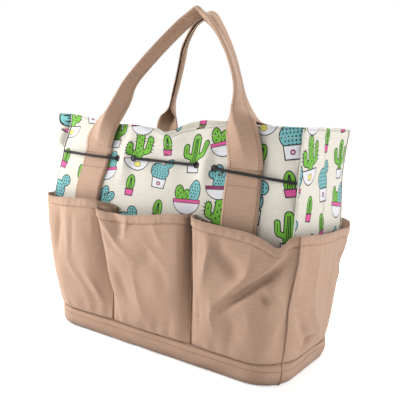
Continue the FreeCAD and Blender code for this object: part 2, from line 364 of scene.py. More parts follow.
def stitches(name, runs, material=THREAD, radius=0.42):
    """Short threads along lines. Each run is (points, outward normals) on the cloth."""
    points, faces, uvs = [], [], []
    for line, normals in runs:
        count = max(2, int(run_lengths(line)[-1] / THREAD_PITCH))
        both = resample(np.hstack([line, normals]), count * 8 + 1)
        for k in range(count):
            middle = both[k * 8 + 4]
            tangent = unit(both[k * 8 + 7, :3] - both[k * 8 + 1, :3])
            up = unit(middle[3:])
            side = np.cross(tangent, up)
            first = len(points)
            for j, (share, fat) in enumerate(THREAD_FORM):
                lift = radius * 0.55 * (1 - (2 * share) ** 2) - THREAD_SINK
                centre = middle[:3] + tangent * share * THREAD_LONG + up * lift
                for q in range(5):
                    a = 2 * math.pi * q / 5
                    points.append(centre + (side * math.cos(a) + up * math.sin(a)) * radius * fat)
                    uvs.append((share * THREAD_LONG, q * radius))
                    if j:
                        base = first + 5 * (j - 1)
                        r = (q + 1) % 5
                        faces.append((base + 5 + q, base + 5 + r, base + r, base + q))
            faces.append(tuple(first + q for q in range(5)))
            faces.append(tuple(first + 20 + q for q in (4, 3, 2, 1, 0)))
    return add_mesh(name, points, faces, [material], uvs)


# ---- Shape of the body ----
def ring(p, width, depth, radius):
    """Rounded rectangle from above: p counts 12 stretches anticlockwise from the middle of the front.
    Returns x, y and the outward direction."""
    p = np.mod(p, 12)
    quarter = np.floor(p / 3)
    local = p - 3 * quarter
    odd = np.mod(quarter, 2) == 1
    first = np.where(odd, depth - radius, width - radius)
    second = np.where(odd, width - radius, depth - radius)
    angle = np.clip(local - 1, 0, 1) * np.pi / 2
    x = np.clip(local, 0, 1) * first + radius * np.sin(angle)
    y = second + radius * np.cos(angle) - np.clip(local - 2, 0, 1) * second
    turn = quarter * np.pi / 2
    nx, ny = np.sin(angle), -np.cos(angle)
    c, s = np.cos(turn), np.sin(turn)
    return x * c + y * s, x * s - y * c, nx * c - ny * s, nx * s + ny * c


def mouth_sag(x):
    """How far the front rim hangs below its ends, where the soft wall droops between the handles."""
    return 11 * bell(x, -2, 58) + 7 * bell(x, 2, 13) + 7 * bell(x, -92, 42)


BACK_SLUMP = 15.5  # how far the back wall's left end has dropped


def back_sag(x):
    """The same for the back rim, which has slumped towards its left end."""
    slump = BACK_SLUMP * (1 - eased(-HALF_MOUTH, -20, x))
    return slump + 11 * bell(x, -102, 32) + 3 * bell(x, 70, 45)


def upper_half_width(z):
    return np.interp(z, [PRINT_FOOT, 170, CORD_Z, RIM], [168, 168.5, 165.5, 165])


def upper_half_depth(z, face):
    depths = [56, 55, 54, 60, 66] if face == "back" else [73, 73.5, 66, 64, 63]
    return np.interp(z, [PRINT_FOOT, 170, CORD_Z, 250, RIM], depths)


def corner(face, side, h):
    """A corner seam of the printed part, h up the cloth from its foot. side is -1 for left, 1 for right."""
    z = PRINT_FOOT + h
    x = upper_half_width(z)
    y = upper_half_depth(z, face)
    if face == "front" and side < 0:
        x = x - 2.3 * eased(185, 222, z) - 9.7 * eased(224, 266, z)
        z = z - 2.5 * eased(70, PRINT_TALL, h)
    if face == "back" and side < 0:
        z = z - BACK_SLUMP * eased(40, PRINT_TALL, h)
    return np.stack([side * x, y if face == "back" else -y, z], axis=-1)


def blended(first, second, share):
    share = np.asarray(share)[..., None]
    return first * (1 - share) + second * share


def pinch(gap):
    """The cloth stands a little proud of a corner seam that is pulled tight."""
    return 2.2 * (1 - np.exp(-gap / 6))


def front_wall(x, h):
    """Point of the printed front wall: x across the cloth, h up from its foot."""
    share = (x + HALF_MOUTH) / (2 * HALF_MOUTH)
    base = blended(corner("front", -1, h), corner("front", 1, h), share)
    z = base[..., 2] - mouth_sag(x) * eased(20, PRINT_TALL, h)
    near_cord = bell(z, CORD_Z, 13)
    bulge = 3.5 * (1 - (x / HALF_MOUTH) ** 2) + pinch(HALF_MOUTH - np.abs(x))
    bulge = bulge + 4.2 * bell(np.abs(x), 57, 7) * bell(z, CORD_Z + 2, 24)
    bulge = bulge + 2.2 * bell(x, 152, 8) * bell(z, 214, 14)
    bulge = bulge - 1.3 * near_cord * bell(x, 0, 48, 8)
    bulge = bulge + 0.7 * ripple(x, z, 3, 60) * (1 - near_cord)
    bulge = bulge + 1.6 * np.sin(x / 9.0 + 1) * eased(228, RIM, z) * bell(x, -10, 75, 4)
    bulge = bulge + 1.0 * np.sin(x / 6.5) * near_cord * bell(x, 0, 40, 4)
    lean = 4.7 * eased(178, 215, z) * (1 - eased(224, 266, z)) * bell(x, -STRAP_X, 29, 4)
    return np.stack([base[..., 0] + lean, base[..., 1] - bulge, z], axis=-1)


def back_wall(x, h):
    """Point of the printed back wall: x is still to the bag's right."""
    share = (x + HALF_MOUTH) / (2 * HALF_MOUTH)
    base = blended(corner("back", -1, h), corner("back", 1, h), share)
    z = base[..., 2] - (back_sag(x) - BACK_SLUMP * (1 - share)) * eased(20, PRINT_TALL, h)
    fill = np.interp(z, [PRINT_FOOT, 170, CORD_Z, RIM], [17, 17, 12, 2])
    bulge = fill * (1 - (x / HALF_MOUTH) ** 4) + pinch(HALF_MOUTH - np.abs(x))
    bulge = bulge + 3.8 * bell(np.abs(x), 57, 7.5) * bell(z, CORD_Z + 4, 26)
    bulge = bulge + 0.7 * ripple(x, z, 5, 62) * (1 - bell(z, CORD_Z, 13))
    bulge = bulge + 1.2 * np.sin(x / 9.5) * eased(228, 268, z) * bell(x, -20, 90, 4)
    return np.stack([base[..., 0], base[..., 1] + bulge, z], axis=-1)


def side_wall(y, h, side):
    """Point of a printed gusset. y is -1 at the front seam and 1 at the back seam. The left one puffs out."""
    base = blended(corner("front", side, h), corner("back", side, h), (y + 1) / 2)
    z = base[..., 2]
    swell = pinch((1 - np.abs(y)) * 63) + 2.0 * (1 - y ** 2) * eased(RIM, 200, z)
    swell = swell - 3.0 * bell(y, 0.15, 0.35) * bell(z, 240, 30)
    swell = swell + 0.7 * ripple(y * 63, z, 8 + side, 55) * (1 - y ** 2)
    forward = np.zeros(np.shape(z))
    if side < 0:
        height = PRINT_FOOT + h
        puff = np.where(height > CORD_Z, 1.0, 0.18) * (1 - bell(height, CORD_Z, 10))
        share = (y + 1) / 2
        swell = swell + 33 * puff * np.sin(np.pi * np.clip(share, 1e-6, 1) ** 0.45)
        forward = 7 * puff * bell(share, 0.05, 0.06) * (1 - np.exp(-share / 0.01))
    return np.stack([base[..., 0] + side * swell, base[..., 1] - forward, z], axis=-1)


WALLS = {"front": front_wall, "back": back_wall}


def on_wall(face, x, z, passes=4):
    """The point of a printed wall at x that hangs at height z, found in a few passes."""
    h = z - PRINT_FOOT
    for _ in range(passes):
        h = h + z - WALLS[face](x, h)[..., 2]
    return WALLS[face](x, h)


# ---- Printed pattern: generic potted plants drawn as flat shapes ----
def turned(x, y, turn):
    c, s = math.cos(turn), math.sin(turn)
    return x * c - y * s, x * s + y * c


def oval(cx, cy, rx, ry, turn=0.0, count=22):
    a = np.linspace(0, 2 * np.pi, count, endpoint=False)
    x, y = turned(rx * np.cos(a), ry * np.sin(a), turn)
    return np.stack([cx + x, cy + y], axis=1)


def limb(x0, y0, x1, y1, radius, count=8):
    """A rod with round ends."""
    angle = math.atan2(y1 - y0, x1 - x0)
    a = np.linspace(-np.pi / 2, np.pi / 2, count) + angle
    far = np.stack([x1 + radius * np.cos(a), y1 + radius * np.sin(a)], axis=1)
    near = np.stack([x0 - radius * np.cos(a), y0 - radius * np.sin(a)], axis=1)
    return np.vstack([far, near])


def bowl(cx, top, half, height):
    a = np.linspace(np.pi, 2 * np.pi, 14)
    return np.stack([cx + half * np.cos(a), top + height * np.sin(a)], axis=1)


def pot(cx, top, half, low_half, height):
    foot = top - height
    return np.array([[cx - half, top], [cx - low_half, foot], [cx + low_half, foot], [cx + half, top]])


def inked(shapes, line=1.25):
    """Flat shapes with one outline round them all. Each is (colour, maker, sizes)."""
    edges = [("ink", grown(maker, sizes, line)) for _, maker, sizes in shapes]
    return edges + [(colour, maker(*sizes)) for colour, maker, sizes in shapes]


def grown(maker, sizes, line):
    """A shape made larger all round by the width of its outline."""
    if maker is oval:
        cx, cy, rx, ry = sizes[:4]
        return oval(cx, cy, rx + line, ry + line, *sizes[4:])
    if maker is limb:
        return limb(*sizes[:4], sizes[4] + line)
    if maker is bowl:
        cx, top, half, height = sizes
        return bowl(cx, top + line, half + line, height + 2 * line)
    cx, top, half, low_half, height = sizes
    return pot(cx, top + line, half + line, low_half + line, height + 2 * line)


def dots(cx, cy, rx, ry, step, turn=0.0):
    """Staggered specks inside an oval."""
    layers = []
    for j in range(int(ry * 2 / step)):
        y = -ry + (j + 0.7) * step
        if abs(y) > ry * 0.88:
            continue
        reach = rx * math.sqrt(1 - (y / ry) ** 2) - 1.4
        count = max(1, int(reach * 2 / step + 0.6))
        for i in range(count):
            x = (i - (count - 1) / 2) * step + (0.25 * step if j % 2 else -0.25 * step)
            if abs(x) < reach:
                dx, dy = turned(x, y, turn)
                layers.append(("ink", oval(cx + dx, cy + dy, 0.85, 1.3, turn - 0.3, 6)))
    return layers


def prickles(cx, cy, rx, ry, count, low, high):
    """Short spines standing out of an oval, between two directions."""
    layers = []
    for k in range(count):
        a = low + (high - low) * (k + 0.5) / count
        x, y = cx + rx * math.cos(a), cy + ry * math.sin(a)
        tip = (x + 3.8 * math.cos(a), y + 3.8 * math.sin(a))
        dx, dy = -math.sin(a) * 0.75, math.cos(a) * 0.75
        layers.append(("ink", np.array([(x + dx, y + dy), (x - dx, y - dy), tip])))
    return layers


def ribs(cx, y0, y1, offsets, bend):
    """Dark lines up a stem, drawing together towards its top."""
    return [("ink", limb(cx + offset, y0, cx + offset * (1 - bend), y1, 0.5, 4)) for offset in offsets]


def ticks(places):
    """Short dark dashes."""
    return [("ink", limb(x, y, x + 0.5, y + 1.6, 0.7, 4)) for x, y in places]


def plant_tall():
    """Branched prickly plant in a wide white bowl with a yellow spot on it."""
    body = [("leaf", limb, (0, 14, 1, 45, 5.0)), ("leaf", limb, (-12, 24, -12.5, 32, 3.1)),
            ("leaf", limb, (-11.5, 22.5, 0, 20, 2.9)), ("leaf", limb, (13, 25, 15.5, 39, 3.7)),
            ("leaf", limb, (12, 24, 0, 20.5, 3.1))]
    layers = prickles(1, 33, 5.6, 17.5, 15, 0.1, 3.04) + prickles(15.0, 32, 4.2, 10.5, 9, -1.0, 2.6)
    layers += prickles(-13.0, 28, 3.6, 7.5, 7, 0.9, 4.2) + inked(body)
    layers += ticks(((-2.2, 20), (1.6, 23), (-1.2, 27), (2.4, 30), (-0.4, 34), (2.6, 38), (-1.2, 41),
                     (1.2, 46), (13, 28), (15.6, 32), (14.4, 36), (-12.6, 28), (-8, 22), (7, 21.6)))
    layers += inked([("white", bowl, (0, 14, 16.0, 15.0))])
    return layers + inked([("yellow", oval, (0, 6.6, 4.6, 3.2))], 0.6)


def plant_round():
    """Broad speckled plant with a bud, in a tapered white pot with a plum badge."""
    body = [("teal", oval, (-1.5, 23.0, 12.6, 11.6)), ("teal", oval, (10.5, 36, 6.2, 6.4, 0.4))]
    layers = inked(body) + dots(-1.5, 23.0, 12.6, 11.6, 3.9) + dots(10.5, 36, 6.2, 6.4, 3.6)
    layers += inked([("white", pot, (-0.5, 13.0, 9.6, 7.6, 13.0))])
    layers += [("plum", oval(-0.5, 6.6, 3.0, 3.0, 0, 12)), ("white", oval(-0.5, 6.6, 1.2, 1.2, 0, 8))]
    return layers


def plant_trio():
    """Two small ovals and a tall speckled one in a half-round bowl with a pink rim."""
    body = [("leaf", oval, (-10.5, 24, 5.4, 9.6, 0.12)), ("leaf", oval, (-0.6, 20.5, 4.4, 7.6)),
            ("teal", oval, (10.4, 26.5, 7.2, 13.4, -0.15))]
    layers = inked(body)
    layers += ticks(((-12, 19), (-9, 23), (-12.5, 26), (-9.5, 29), (-1, 17), (-2, 22), (1, 20)))
    layers += dots(10.4, 26.5, 7.2, 13.4, 3.9, -0.15) + inked([("white", bowl, (0, 14.0, 17.5, 15.0))])
    return layers + [("ink", pot(0, 16.6, 18.8, 18.4, 5.0)), ("pink", pot(0, 15.9, 18.0, 17.8, 3.5))]


def plant_arms():
    """Ribbed plant with raised arms in a small square pot."""
    body = [("leaf", limb, (0, 9, 0, 40, 4.6)), ("leaf", limb, (-12, 23, -13, 32, 2.7)),
            ("leaf", limb, (-11, 20.5, 0, 17, 2.6)), ("leaf", limb, (11.5, 23, 14, 34, 2.7)),
            ("leaf", limb, (11, 21.5, 0, 16, 2.6))]
    layers = inked(body) + ribs(0, 11, 40, (-2.2, 0, 2.2), 0.3)
    layers += [("ink", limb(-12.1, 23, -13, 31, 0.4, 4)), ("ink", limb(11.8, 24, 13.8, 33, 0.4, 4))]
    return layers + inked([("white", pot, (0, 9.5, 7.6, 6.6, 9.5))])


def plant_pads():
    """Stacked speckled pads in a half bowl with a plum rim."""
    pads = ((0, 19, 7.6, 7.6, 0.0), (-8.0, 28.5, 5.2, 5.4, 0.5), (8.2, 27.5, 4.6, 6.0, -0.7),
            (-1.4, 34, 4.6, 5.0, 0.0))
    layers = inked([("teal", oval, pad) for pad in pads])
    for cx, cy, rx, ry, turn in pads:
        layers += dots(cx, cy, rx, ry, 3.5, turn)
    layers += inked([("white", bowl, (0, 12.5, 16.0, 13.0))])
    return layers + [("ink", pot(0, 15.0, 17.0, 16.6, 4.8)), ("plum", pot(0, 14.3, 16.2, 16.0, 3.4))]


def plant_small():
    """One small ribbed oval in a pink pot."""
    layers = inked([("leaf", oval, (0, 16, 5.6, 10.6))]) + ribs(0, 9, 23, (-2.4, 0, 2.4), 0.7)
    return layers + inked([("pink", pot, (0, 7.5, 5.6, 4.6, 7.0))])


PLANTS = [plant_tall(), plant_small(), plant_pads(), plant_round(), plant_trio(), plant_small(), plant_arms()]
SMALL_KINDS = (1, 5)  # their places in PLANTS
PLANT_STEP, PLANT_ROW = 40.0, 46.0  # between plants, across and up the cloth
CELL_WIDE, CELL_TALL = 5.0, 4.0  # between the points that let the printed cloth bend


def scatter(low, high, foot, tall, seed):
    """Plants in half-drop columns across a stretch of cloth, each turned and sized a little differently."""
    layers = []
    for column in range(math.floor(low / PLANT_STEP) - 1, math.ceil(high / PLANT_STEP) + 2):
        for row in range(-1, 5):
            chance = random.Random(seed * 997 + column * 31 + row)
            kind = (column * 3 + row * 2 + seed) % len(PLANTS)
            x = column * PLANT_STEP + chance.uniform(-3, 3)
            y = 2 + (row + 0.5 * (column % 2)) * PLANT_ROW + chance.uniform(-3, 3)
            y += 8 if kind in SMALL_KINDS else 0
            turn, size = chance.uniform(-0.2, 0.2), chance.uniform(0.92, 1.04)
            for colour, outline in PLANTS[kind]:
                dx, dy = turned(outline[:, 0] * size, outline[:, 1] * size, turn)
                px, py = x + dx, y - foot + dy
                if px.max() > low and px.min() < high and py.max() > 0 and py.min() < tall:
                    layers.append((colour, np.stack([px, py], axis=1)))
    return layers


def lined(xy, surface, faces, slots, thick):
    """Doubles a bent sheet: print outside, lining a thickness inwards, and a strip round the edge."""
    x, y = xy[:, 0], xy[:, 1]
    outer = surface(x, y)
    reach = 0.4
    across = surface(x + reach, y) - surface(x - reach, y)
    normal = unit(np.cross(across, surface(x, y + reach) - surface(x, y - reach)))
    count = len(xy)
    edges = {}
    for face, slot in zip(faces, slots):
        for a, b in zip(face, face[1:] + face[:1]):
            edges[a, b] = slot
    inner = [tuple(v + count for v in face[::-1]) for face in faces]
    open_edges = [(a, b) for a, b in edges if (b, a) not in edges]
    strip = [(b, a, a + count, b + count) for a, b in open_edges]
    slots = slots + [len(PRINT_ORDER)] * len(inner) + [edges[edge] for edge in open_edges]
    return np.vstack([outer, outer - normal * thick]), slots, faces + inner + strip


def printed(name, low, high, surface, seed, flip, tall=PRINT_TALL, foot=0.0, thick=1.3, bends=None):
    """A printed sheet: flat shapes over flat cloth, cut into one set of triangles and bent to the wall.
    bends are the heights at which a hem is creased."""
    verts = [np.array([[low, 0], [high, 0], [high, tall], [low, tall]])]
    loops = [[0, 1, 2, 3]]
    labels = [0]
    columns = max(2, int((high - low) / CELL_WIDE))
    levels = np.linspace(0, tall, max(8, int(tall / CELL_TALL)) + 1) if bends is None else bends
    rows = len(levels) - 1
    lattice = []
    where = {}
    for i in range(columns + 1):
        for j in range(rows + 1):
            if i in (0, columns) and j in (0, rows):
                continue
            where[i, j] = 4 + len(lattice)
            # A small nudge keeps lattice points off each other's lines.
            free = 0 < i < columns and 0 < j < rows and bends is None
            nudge = (0.011 * ((i * 7 + j * 3) % 5), 0.013 * ((i * 3 + j * 5) % 7)) if free else (0, 0)
            lattice.append((low + (high - low) * i / columns + nudge[0], levels[j] + nudge[1]))
    verts.append(np.array(lattice))
    total = 4 + len(lattice)
    for colour, outline in scatter(low, high, foot, tall, seed):
        verts.append(outline)
        loops.append(list(range(total, total + len(outline))))
        labels.append(PRINT_ORDER.index(colour))
        total += len(outline)
    flat = [Vector(v) for v in np.vstack(verts).tolist()]
    creases = [] if bends is None else [(where[0, j], where[columns, j]) for j in range(1, rows)]
    out_verts, _, out_faces, _, _, owners = delaunay_2d_cdt(flat, creases, loops, 0, 1e-6)
    faces, slots = [], []
    for face, owner in zip(out_faces, owners):
        if 0 in owner:
            faces.append(tuple(face)[::-1] if flip else tuple(face))
            slots.append(labels[max(owner)])
    used = sorted({v for face in faces for v in face})
    place = {v: i for i, v in enumerate(used)}
    faces = [tuple(place[v] for v in face) for face in faces]
    xy = np.clip(np.array([tuple(out_verts[v]) for v in used]), [low, 0], [high, tall])
    points, slots, faces = lined(xy, surface, faces, slots, -thick if flip else thick)
    obj = add_mesh(name, points, faces, [PRINT[key] for key in PRINT_ORDER] + [LINING],
                   np.vstack([xy, xy]) + [0, foot], slots)
    return fit(obj, "printed_canvas", None)


def fold_with(obj):
    """Moves a piece's placement into its mesh. The piece is not bent at the fold."""
    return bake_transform(obj)


def spread_with(obj):
    """Moves a piece's placement into its mesh. Nothing makes it follow the face it is sewn to."""
    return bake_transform(obj)


FACE_SEEDS = {"front": 1, "back": 4}  # which plants land where
GUSSET_HALVES = (("front", -GUSSET_HALF, 0.0), ("back", 0.0, GUSSET_HALF))


def gusset(side):
    """The surface of a gusset in millimetres across and up the cloth."""
    return lambda y, h: side_wall(y / GUSSET_HALF, h, side)


def make_printed_walls():
    for face, sign in UPPER_FACES:
        wall = printed(face + "_wall_print", -HALF_MOUTH, HALF_MOUTH, WALLS[face], FACE_SEEDS[face], sign > 0)
        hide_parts(face + "_panel_upper")
        fold_with(wall)
    for word, side in SIDES:
        for face, low, high in GUSSET_HALVES:
            half = printed("%s_gusset_%s_half" % (word, face), low, high, gusset(side), 7 + side, side < 0)
            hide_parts(word + "_gusset")
            spread_with(half)


# ---- Rim hem, corner seams and inside ----
ROLL = 1.6  # radius of the turned rim
HEM_INSIDE = 20.0
RIM_STITCH = 9.0  # from the rim down to the stitches


def rolled(wall, turn):
    """Surface of a turned-in hem: over the rim, then down inside the wall. turn is 1 where the inside of
    the bag is to the left of the cloth's own direction, else -1."""
    def edge(x, drop):
        return wall(x, PRINT_TALL - drop)

    def surface(x, v):
        angle = np.clip(v / ROLL, 0, math.pi)
        drop = np.clip(v - math.pi * ROLL, 0, None)
        ahead = edge(x + 0.4, drop) - edge(x - 0.4, drop)
        inward = unit(np.stack([-ahead[:, 1], ahead[:, 0], 0 * x], axis=1) * turn)
        across = (ROLL * (1 - np.cos(angle)) - 0.3)[:, None]
        rise = np.stack([0 * x, 0 * x, ROLL * np.sin(angle)], axis=1)
        return edge(x, drop) + across * inward + rise
    return surface


def rim_hem(name, low, high, wall, turn, seed):
    """The printed hem inside a stretch of rim. It shows the pattern's next rows, upside down."""
    over = math.pi * ROLL
    reach = over + HEM_INSIDE
    bends = np.concatenate([np.linspace(0, over, 7), np.linspace(over, reach, 6)[1:]])
    return printed(name, low, high, rolled(wall, turn), seed, turn < 0, reach, PRINT_TALL, 0.5, bends)


def rim_stitches(name, line, outward):
    runs = [(line, np.tile(outward, (len(line), 1)))]
    return stitches(name + "_rim_stitches", runs, PRINT["ground"], radius=0.28)


def make_rims():
    height = PRINT_TALL - RIM_STITCH
    for face, sign in UPPER_FACES:
        wall = WALLS[face]
        hem = rim_hem(face + "_rim_hem", -HALF_MOUTH, HALF_MOUTH, wall, -sign, FACE_SEEDS[face])
        fit(hem, None, face + "_upper", face + "_rim_facing")
        x = np.linspace(163, -163, 120) * sign
        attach(rim_stitches(face, wall(x, np.full(120, height)), [0, sign, 0]), face + "_upper")
    for word, side in SIDES:
        for face, low, high in GUSSET_HALVES:
            name = "%s_%s" % (word, face)
            hem = rim_hem(name + "_rim_hem", low, high, gusset(side), side, 7 + side)
            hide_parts(word + "_rim_facing")
            spread_with(hem)
            line = side_wall(np.linspace(low, high, 50)[::side] / GUSSET_HALF, np.full(50, height), side)
            spread_with(rim_stitches(name, line, [side, 0, 0]))


def tube(name, line, radius, material, sides=8):
    """A round cord along a line."""
    line = np.asarray(line, float)
    tangent = unit(np.gradient(line, axis=0))
    side = unit(np.cross(tangent, np.array([0.02, 0.03, 1.0])))
    up = np.cross(side, tangent)
    a = np.linspace(0, 2 * np.pi, sides, endpoint=False)
    around = np.cos(a)[None, :, None] * side[:, None] + np.sin(a)[None, :, None] * up[:, None]
    uv = np.stack(np.broadcast_arrays(run_lengths(line)[:, None], (a * radius)[None]), axis=2)
    faces = grid_faces(sides, len(line), around=True, flip=True)
    last = (len(line) - 1) * sides
    faces.append(tuple(range(sides)))
    faces.append(tuple(last + i for i in range(sides))[::-1])
    return add_mesh(name, line[:, None] + radius * around, faces, [material], uv)


TAPE_SHARE = 0.86  # of the printed part's height, so that the tape stops short of the hem


def make_corner_seams():
    """The pinched seam down each corner of the printed part, and the tape that covers it inside."""
    h = np.linspace(0, PRINT_TALL, 60)
    for face, sign in UPPER_FACES:
        for word, side in SIDES:
            line = corner(face, side, h) + np.array([side * 0.5, sign * 0.5, 0])
            bead = tube("%s_%s_corner_seam" % (face, word), line, 0.8, PRINT["ground"])
            fold_with(bead)
            edges = [corner(face, side, h * TAPE_SHARE) + np.array([-side * 2.6, -sign * inset, 0])
                     for inset in (2.0, 7.0, 13.0)]
            grid = np.stack(edges[::-1] if side * sign > 0 else edges, axis=1)
            tape = sheet("%s_%s_seam_tape" % (face, word), grid, TAPE, 0.7)
            fit(tape, "binding_tape", None, "seam_bindings")
            spread_with(tape)


# ---- Lower body ----
SEAM_TURN = 0.678  # where the corner seam meets the band, as a share of the corner's quarter turn
BAND_SEAMS = (1 + SEAM_TURN, 5 - SEAM_TURN, 7 + SEAM_TURN, 11 - SEAM_TURN)  # ring positions of the four seams
BAND = (166.0, 79.5, 42.0)  # half width, half depth and corner radius of the band's seam line


def band_profile(z):
    """How far the band stands outside its seam line at height z."""
    return np.interp(z, [0, 1.5, 4, 9, 16, 22, 25.5, BAND_TOP], [-6.0, -3.2, -1.0, 0.8, 1.4, 0.9, 0.0, -0.8])


def band_line(p, z):
    """A level line round the band at height z, with its slanting wrinkles."""
    x, y, nx, ny = ring(p, *BAND)
    out = float(band_profile(z)) + 0.6 * ripple(x, y + z * 1.5, 21, 60) * eased(0, 10, z)
    out = out + 1.7 * np.sin((x * 0.9 + z * 2.6) / 6.5) * bell(z, 10, 8) * bell(x, -22, 38)
    out = out + 0.7 * np.sin((x * 0.8 - z * 2.2 + y) / 8) * bell(z, 10, 8) * bell(x, 90, 60)
    return np.stack([x + nx * out, y + ny * out, np.full_like(x, z)], axis=1)


def along_band(start, end, count):
    """Ring positions from start to end, evenly spaced along the band."""
    p = np.linspace(start, end, 600)
    steps = run_lengths(np.stack(ring(p, *BAND)[:2], axis=1))
    return np.interp(np.linspace(0, steps[-1], count), steps, p)


def make_band():
    levels = np.array([0.2, 0.9, 2.0, 3.5, 6, 9, 12, 15, 18, 20, 21, 22, 24, 25.5, BAND_TOP])
    starts = (BAND_SEAMS[3] - 12,) + BAND_SEAMS
    for word, start, end in zip(("front", "right", "back", "left"), starts, BAND_SEAMS):
        p = along_band(start, end, 150)
        points = np.array([band_line(p, z) for z in levels])
        fit(sheet("foot_band_" + word, points, TAN, 1.6), "tan_canvas", "bag", "base_band_" + word)
        normals = grid_normals(points)
        stitched = [int(np.argmin(np.abs(levels - z))) for z in (18.0, 24.0)]
        runs = [(points[row], normals[row]) for row in stitched]
        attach(stitches("foot_band_stitches_" + word, runs), "bag")
    for k, p in enumerate(BAND_SEAMS):
        line = [band_line(np.array([p]), z)[0] for z in np.linspace(0.8, 26, 24)]
        fit(tube("foot_band_seam_%d" % k, line, 1.1, TAN), "tan_canvas", "bag")


def make_base():
    """The floor: flat underneath, and a slightly uneven cloth inside."""
    shares = [0.0, 0.12, 0.25, 0.4, 0.55, 0.7, 0.82, 0.92, 0.985]
    x, y, _, _ = ring(np.linspace(0, 12, 181)[:-1], *(size - 5 for size in BAND))
    inside = [np.stack([x * k, y * k, 1.9 + 0.5 * ripple(x * k, y * k, 31, 90)], axis=1) for k in shares]
    under = [np.stack([x * k, y * k, np.full_like(x, 0.3)], axis=1) for k in shares[::-1]]
    points = np.array(inside + under)
    faces = grid_faces(len(x), len(points), around=True, flip=True)
    obj = add_mesh("floor_panel", points, faces, [LINING], points[:, :, :2])
    weld = obj.modifiers.new("weld", "WELD")
    weld.merge_threshold = 0.05 * MM
    fit(obj, "tan_canvas", "bag", "base_panel")


def make_inner_walls():
    """The plain wall behind the pockets, from the band to the foot of the printed part."""
    heights = [0, BAND_TOP, 100, 156]
    stretches = (("front", "front_panel_lower", -1.6, 1.6), ("back", "back_panel_lower", 4.4, 7.6),
                 ("right", "right_gusset", 1.55, 4.45), ("left", "left_gusset", 7.55, 10.45))
    for word, node, start, end in stretches:
        rows = []
        for z in np.linspace(3, 156, 22):
            width = np.interp(z, heights, [159, 160, 162, 165.5])
            front = np.interp(z, heights, [72.5, 73.5, 72.0, 71.0])
            back = np.interp(z, heights, [70, 70, 62, 55.0])
            radius = np.interp(z, heights, [38, 38, 28, 10])
            x, y, _, _ = ring(np.linspace(start, end, 90), width, front, radius)
            full = (1 - (x / 168) ** 4) * eased(70, 146, z)
            y = np.where(y > 0, y * back / front + 17 * full, y - 4 * full)
            rows.append(np.stack([x, y, np.full_like(x, z)], axis=1))
        fit(sheet("inner_wall_" + word, np.array(rows), LINING, 1.0), "lining_canvas", "bag", node)


# ---- Pockets ----
DIVIDER_P = 0.468  # ring position where a divider meets the band
POCKET_TALL = 142.0
HEM_DEEP = 10.5
HEM_ROW = 1 - HEM_DEEP / POCKET_TALL  # the stitched line, as a share of the pocket's height

# The hems: points (x, y, z) of a front pocket's rim. The back's are turned half round when they are used.
FRONT_HEMS = {
    "left": [
        (-178, -76, 168.5), (-168, -86, 167), (-148, -91.5, 167.5), (-120, -93, 170), (-96, -93.5, 172),
        (-80, -90, 171.5), (-69, -84, 169.5), (-59, -78.5, 167)],
    "middle": [
        (-58, -78.5, 166), (-67, -86.5, 166), (-77, -92.5, 165.5), (-71, -97, 162.5), (-52, -97.5, 161),
        (-34, -97.5, 161.5), (-8, -98, 165), (24, -98, 170.5), (41, -96.5, 173), (48.5, -93, 173.5),
        (50, -86, 173), (52, -78.5, 172)],
    "right": [
        (54.5, -78.5, 172.5), (56.5, -85, 173), (58.5, -91.5, 172.5), (68, -95.5, 171), (105, -96, 168),
        (130, -94, 166), (147, -91, 161), (158, -88, 155.5), (165, -84, 159.5), (170, -80.5, 166),
        (178, -76, 168.5)],
}
BACK_HEMS = {
    "left": [
        (-173, -73, 165), (-166, -83, 165.5), (-148, -91, 167), (-120, -94, 169), (-94, -93.5, 169.5),
        (-80, -91, 169), (-69, -86, 168), (-59, -78.5, 167)],
    "middle": [
        (-58, -78.5, 167), (-56, -88, 166.5), (-38, -95, 165.5), (-10, -97.5, 165), (20, -97, 166),
        (40, -95, 168), (54, -90, 169), (57, -84, 169), (58, -78.5, 169)],
    "right": [
        (59, -78.5, 169), (64, -87, 169.5), (74, -92.5, 170), (86, -95, 169.5), (108, -94.5, 168),
        (130, -92.5, 166), (150, -89.5, 163.5), (161, -85, 163), (168, -79, 164), (173, -73, 165)],
}
SIDE_HEM = [
    (178, -76, 168.5), (182, -60, 168), (184, -34, 166), (184, -4, 164.4), (182.5, 30, 163.2),
    (179.5, 52, 161.5), (177, 65, 162), (173, 73, 165)]

